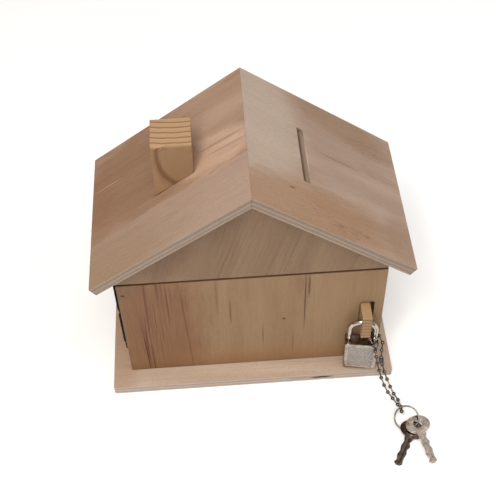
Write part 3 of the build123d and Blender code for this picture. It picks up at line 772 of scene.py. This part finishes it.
metalLooks = {
    "blackLacquer": {
        "bright": (26, 22, 20), "dull": (12, 10, 10), "pitTint": (88, 74, 62), "pits": 0.4,
        "metallic": 0.0, "specular": 0.12, "rough": (0.6, 0.85), "scratch": 0.5, "scale": 1.5,
        "depth": 0.00006,
    },
    "brightCase": {
        "bright": (172, 161, 150), "dull": (138, 129, 120), "pitTint": (150, 142, 134), "pits": 0.15,
        "rough": (0.12, 0.26), "scratch": 0.5, "scale": 1.0, "depth": 0.00002,
    },
    "shackleSteel": {
        "bright": (190, 180, 170), "dull": (164, 155, 146), "pitTint": (150, 142, 134), "pits": 0.1,
        "rough": (0.07, 0.18), "scratch": 0.3, "scale": 1.2, "depth": 0.00001,
    },
    "latchBrass": {
        "bright": (226, 186, 112), "dull": (190, 150, 84), "pitTint": (120, 86, 44), "pits": 0.3,
        "rough": (0.2, 0.4), "scratch": 0.6, "scale": 1.4, "depth": 0.00003,
    },
    "drawnWire": {
        "bright": (168, 168, 170), "dull": (128, 128, 132), "pitTint": (84, 76, 70), "pits": 0.3,
        "rough": (0.25, 0.45), "scratch": 0.8, "scale": 1.6, "depth": 0.00002,
    },
    "chainNickel": {
        "bright": (112, 100, 92), "dull": (74, 65, 59), "pitTint": (90, 80, 72), "pits": 0.2,
        "rough": (0.05, 0.12), "scratch": 0.2, "scale": 1.6, "depth": 0.00001,
    },
    "ringNickel": {
        "bright": (122, 114, 108), "dull": (94, 87, 82), "pitTint": (130, 120, 112), "pits": 0.1,
        "rough": (0.10, 0.22), "scratch": 0.4, "scale": 1.5, "depth": 0.00001,
    },
    "upperKeyNickel": {
        "bright": (206, 190, 175), "dull": (166, 152, 139), "pitTint": (134, 118, 102), "pits": 0.25,
        "rough": (0.08, 0.20), "scratch": 0.8, "scale": 1.3, "wave": 6.0, "depth": 0.00003,
    },
    "lowerKeyNickel": {
        "bright": (122, 107, 99), "dull": (86, 75, 69), "pitTint": (92, 78, 68), "pits": 0.3,
        "rough": (0.08, 0.22), "scratch": 0.8, "scale": 1.3, "wave": 6.0, "depth": 0.00003,
    },
}

materials = {}
for node, look in boardLooks.items():
    materials[node] = plywoodMaterial(node + "Ply", look)
for node, look in pineLooks.items():
    materials[node] = pineMaterial(node + "Pine", look)
for name, look in metalLooks.items():
    materials[name] = metalMaterial(name, look)
materials["pebblePanel"] = pebbleMaterial("pebblePanel", pebbleLook)
print("materials ready:", len(materials))


bodyOf = {node: body for body, nodes in frame["record"]["behaviour"]["bodies"].items() for node in nodes}


def deselectAll():
    if bpy.context.object and bpy.context.object.mode != "OBJECT":
        bpy.ops.object.mode_set(mode="OBJECT")
    bpy.ops.object.select_all(action="DESELECT")


def pick(piece):
    deselectAll()
    piece.select_set(True)
    bpy.context.view_layer.objects.active = piece


def applyModifier(piece, kind, **settings):
    modifier = piece.modifiers.new(kind.lower(), kind)
    for key, value in settings.items():
        setattr(modifier, key, value)
    pick(piece)
    bpy.ops.object.modifier_apply(modifier=modifier.name)


def selectVertices(piece, wanted):
    bpy.ops.object.mode_set(mode="EDIT")
    bpy.ops.mesh.select_mode(type="VERT")
    bpy.ops.mesh.select_all(action="DESELECT")
    bpy.ops.object.mode_set(mode="OBJECT")
    for vertex in piece.data.vertices:
        vertex.select = wanted(vertex.co)
    bpy.ops.object.mode_set(mode="EDIT")


woodSmooth = 30          # degrees; a sharper turn than this stays crisp


def finishPiece(piece, node, material, angle):
    # place, shading and material of a new piece, its body, and its entry in the list of new pieces
    pick(piece)
    bpy.ops.object.transform_apply(location=True, rotation=True, scale=True)
    bpy.ops.object.shade_smooth_by_angle(angle=math.radians(angle))
    piece.data.materials.clear()
    piece.data.materials.append(material)
    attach(piece, bodyOf[node])
    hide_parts(node)
    finished.append(piece)


copyLook = {"merge": 0.000002, "flat": 0.5}


def copyNode(node, name):
    # a merged copy of a CAD node, so that its arrises can be eased
    piece = bpy.data.objects.new(name, frame["nodes"][node].data.copy())
    bpy.context.scene.collection.objects.link(piece)
    pick(piece)
    bpy.ops.mesh.customdata_custom_splitnormals_clear()
    bpy.ops.object.mode_set(mode="EDIT")
    bpy.ops.mesh.select_all(action="SELECT")
    bpy.ops.mesh.remove_doubles(threshold=copyLook["merge"])
    bpy.ops.mesh.dissolve_limited(angle_limit=math.radians(copyLook["flat"]))
    bpy.ops.object.mode_set(mode="OBJECT")
    return piece


def easeArrises(piece, width, segments=2, angle=40):
    applyModifier(piece, "BEVEL", width=width, segments=segments, limit_method="ANGLE",
                  angle_limit=math.radians(angle), use_clamp_overlap=True)


def weighNormals(piece):
    applyModifier(piece, "WEIGHTED_NORMAL", keep_sharp=True, weight=80)


# name and easing of each board
boardPieces = {
    "roof_left": ("roofBoardLeft", 0.35), "front_gable": ("gableBoard", 0.3),
    "roof_right": ("roofBoardRight", 0.35), "left_wall": ("wallBoardLeft", 0.3),
    "right_wall": ("wallBoardRight", 0.3), "back_wall": ("wallBoardBack", 0.3),
    "door_panel": ("doorBoard", 0.4), "tongue_block": ("tongueBlock", 0.4),
    "lock_tongue": ("lockTongue", 0.4),
}


def makeBoards(looks):
    for node, (name, easing) in looks.items():
        piece = copyNode(node, name)
        easeArrises(piece, easing * mm)
        finishPiece(piece, node, materials[node], woodSmooth)
        weighNormals(piece)


baseLook = {
    "easing": 0.35, "voidFrom": 33.0, "voidTo": 47.0, "voidHigh": 1.1, "voidDeep": 3.0, "voidMiddle": 3.1,
    "voidCuts": 4, "voidRough": 0.25, "voidSeed": 3,
}


def makeBase(look):
    # the base with the open knot hole in its middle ply at the front
    piece = copyNode("base_board", "baseBoard")
    easeArrises(piece, look["easing"] * mm)
    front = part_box("base_board")[0].y
    length = (look["voidTo"] - look["voidFrom"]) * mm
    size = (length, look["voidDeep"] * 2 * mm, look["voidHigh"] * mm)
    middle = ((look["voidFrom"] + look["voidTo"]) / 2 * mm, front, look["voidMiddle"] * mm)
    deselectAll()
    bpy.ops.mesh.primitive_cube_add(size=1, location=middle, scale=size)
    cutter = bpy.context.object
    bpy.ops.object.transform_apply(location=True, rotation=True, scale=True)
    bpy.ops.object.mode_set(mode="EDIT")
    bpy.ops.mesh.select_all(action="SELECT")
    bpy.ops.mesh.subdivide(number_cuts=look["voidCuts"])
    bpy.ops.transform.vertex_random(offset=look["voidRough"] * mm, seed=look["voidSeed"])
    bpy.ops.object.mode_set(mode="OBJECT")
    applyModifier(piece, "BOOLEAN", operation="DIFFERENCE", object=cutter, solver="EXACT")
    bpy.data.objects.remove(cutter)
    finishPiece(piece, "base_board", materials["base_board"], woodSmooth)
    weighNormals(piece)


chimneyLook = {
    "easing": 0.5, "cuts": 12, "margin": 1.3,
    "tornStart": 0.6, "tornLength": 8.0, "tornHigh": 0.7, "tornFront": 0.8, "tornDepth": 0.45,
    "tornBack": 0.35, "tornSeed": 5,
    "splinters": 16, "splinterSeed": 7, "splinterLong": 2.6, "splinterWide": 0.34, "splinterTip": 0.04,
    "splinterIn": (0.1, 0.7), "splinterDown": (0.9, 1.3), "splinterWidths": (0.6, 1.2),
    "splinterLengths": (0.5, 1.1), "splinterPitch": (80, 125), "splinterRoll": (-20, 20),
    "splinterYaw": (-0.6, 0.6),
}


def makeChimney(look):
    # a sawn square post, its foot cut to the roof and its front left top edge torn
    low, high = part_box("chimney")
    deselectAll()
    bpy.ops.mesh.primitive_cube_add(size=1, location=(low + high) / 2, scale=high - low)
    piece = bpy.context.object
    piece.name = "chimneyPost"
    bpy.ops.object.transform_apply(location=True, rotation=True, scale=True)
    bpy.ops.object.mode_set(mode="EDIT")
    bpy.ops.mesh.select_all(action="SELECT")
    bpy.ops.mesh.bisect(plane_co=ridgeTop, plane_no=(-math.sin(slope), 0, math.cos(slope)),
                        use_fill=True, clear_inner=True)
    bpy.ops.object.mode_set(mode="OBJECT")
    easeArrises(piece, look["easing"] * mm, segments=3)
    # cuts along the torn length, then two that keep its bent normals off the wide faces
    torn = look["tornLength"] * mm
    margin = look["margin"] * mm
    planes = [((low.x + torn * i / look["cuts"], 0, 0), (1, 0, 0)) for i in range(1, look["cuts"] + 1)]
    planes += [((0, low.y + margin, 0), (0, 1, 0)), ((0, 0, high.z - margin), (0, 0, 1))]
    bpy.ops.object.mode_set(mode="EDIT")
    for place, facing in planes:
        bpy.ops.mesh.select_all(action="SELECT")
        bpy.ops.mesh.bisect(plane_co=place, plane_no=facing)
    start = low.x + look["tornStart"] * mm
    bottom = high.z - look["tornHigh"] * mm
    back = low.y + look["tornFront"] * mm
    selectVertices(piece, lambda co: co.z > bottom and co.y < back and start < co.x < low.x + torn)
    bpy.ops.transform.vertex_random(offset=look["tornDepth"] * mm, seed=look["tornSeed"])
    bpy.ops.transform.translate(value=(0, look["tornBack"] * mm, -look["tornDepth"] * mm))
    bpy.ops.object.mode_set(mode="OBJECT")
    draw = random.Random(look["splinterSeed"])
    slivers = []
    for i in range(look["splinters"]):
        share = (i + draw.random()) / look["splinters"]
        x = low.x + (look["tornStart"] + share * look["tornLength"]) * mm
        y = low.y + draw.uniform(*look["splinterIn"]) * mm
        z = high.z - draw.uniform(*look["splinterDown"]) * mm
        wide = look["splinterWide"] * draw.uniform(*look["splinterWidths"]) * mm
        long = look["splinterLong"] * draw.uniform(*look["splinterLengths"]) * mm
        pitch = math.radians(draw.uniform(*look["splinterPitch"]))
        roll = math.radians(draw.uniform(*look["splinterRoll"]))
        yaw = draw.uniform(*look["splinterYaw"])
        deselectAll()
        bpy.ops.mesh.primitive_cone_add(vertices=5, radius1=wide, radius2=look["splinterTip"] * mm,
                                        depth=long, location=(x, y, z), rotation=(pitch, roll, yaw))
        slivers.append(bpy.context.object)
    pick(piece)
    for sliver in slivers:
        sliver.select_set(True)
    bpy.ops.object.join()
    finishPiece(piece, "chimney", materials["chimney"], woodSmooth)
    weighNormals(piece)


# name, material, easing and smoothing angle of each metal piece
metalPieces = {
    "lower_hinge_wall_leaf": ("lowerHingeWallLeaf", "blackLacquer", 0.12, 30),
    "lower_hinge_door_leaf": ("lowerHingeDoorLeaf", "blackLacquer", 0.12, 30),
    "upper_hinge_wall_leaf": ("upperHingeWallLeaf", "blackLacquer", 0.12, 30),
    "upper_hinge_door_leaf": ("upperHingeDoorLeaf", "blackLacquer", 0.12, 30),
    "lock_case": ("padlockCase", "brightCase", 0.12, 40),
    "lock_front_panel": ("padlockFrontPanel", "pebblePanel", 0.1, 40),
    "lock_back_panel": ("padlockBackPanel", "pebblePanel", 0.1, 40),
    "shackle": ("padlockShackle", "shackleSteel", 0.1, 50),
    "chain_beads": ("chainBeads", "chainNickel", 0.0, 60),
    "chain_links": ("chainLinks", "chainNickel", 0.0, 60),
    "chain_connector": ("chainConnector", "ringNickel", 0.08, 50),
    "key_one": ("upperKey", "upperKeyNickel", 0.3, 60),
    "key_two": ("lowerKey", "lowerKeyNickel", 0.3, 60),
}

metalEdge = 50           # degrees; a sharper turn than this is eased


def makeMetalPieces(looks):
    for node, (name, material, easing, angle) in looks.items():
        piece = copyNode(node, name)
        if easing:
            easeArrises(piece, easing * mm, angle=metalEdge)
        finishPiece(piece, node, materials[material], angle)


ringLook = {
    "radius": 6.95, "wire": 0.44, "sides": 12, "pitch": 0.8, "turns": 2, "stepsPerTurn": 64,
    "tilt": 25.0, "lowSide": -120.0, "lift": 0.15, "smooth": 40,
}


def makeSplitRing(look):
    # two turns of wire, lying against each other
    low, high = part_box("key_ring")
    centre = (low + high) / 2 + Vector((0, 0, look["lift"] * mm))
    deselectAll()
    bpy.ops.mesh.primitive_circle_add(vertices=look["sides"], radius=look["wire"] * mm, fill_type="NGON",
                                      location=(look["radius"] * mm, 0, 0), rotation=(math.pi / 2, 0, 0))
    piece = bpy.context.object
    piece.name = "splitRing"
    bpy.ops.object.transform_apply(location=True, rotation=True, scale=True)
    rise = look["turns"] * look["pitch"] * mm
    steps = look["stepsPerTurn"] * look["turns"]
    applyModifier(piece, "SCREW", angle=look["turns"] * 2 * math.pi, screw_offset=rise,
                  steps=steps, render_steps=steps, axis="Z", use_merge_vertices=False)
    bpy.ops.object.mode_set(mode="EDIT")
    bpy.ops.mesh.select_all(action="SELECT")
    bpy.ops.mesh.remove_doubles(threshold=copyLook["merge"])
    bpy.ops.mesh.normals_make_consistent(inside=False)
    bpy.ops.object.mode_set(mode="OBJECT")
    bearing = math.radians(look["lowSide"])
    tilt = math.radians(look["tilt"])
    axis = Vector((math.cos(bearing) * math.sin(tilt), math.sin(bearing) * math.sin(tilt), math.cos(tilt)))
    piece.rotation_euler = axis.to_track_quat("Z", "Y").to_euler()
    piece.location = centre - axis * (rise / 2)
    finishPiece(piece, "key_ring", materials["ringNickel"], look["smooth"])


# small parts that are the CAD nodes themselves, with a material each
keptNodes = {
    "base_brads": "drawnWire", "lower_hinge_pin": "blackLacquer", "upper_hinge_pin": "blackLacquer",
    "hinge_wall_nails": "blackLacquer", "hinge_door_nails": "blackLacquer",
    "lock_latch": "latchBrass", "lock_plug": "latchBrass", "shackle_spring": "drawnWire",
}

makeBoards(boardPieces)
makeBase(baseLook)
print("boards ready")
makeChimney(chimneyLook)
print("chimney ready")
makeMetalPieces(metalPieces)
makeSplitRing(ringLook)
print("metal pieces ready")
for node, material in keptNodes.items():
    kept = frame["nodes"][node]
    kept.data.materials.clear()
    kept.data.materials.append(materials[material])
deselectAll()
print("kept nodes:", len(keptNodes))

print("new pieces:", len(finished), "faces:", sum(len(piece.data.polygons) for piece in finished))
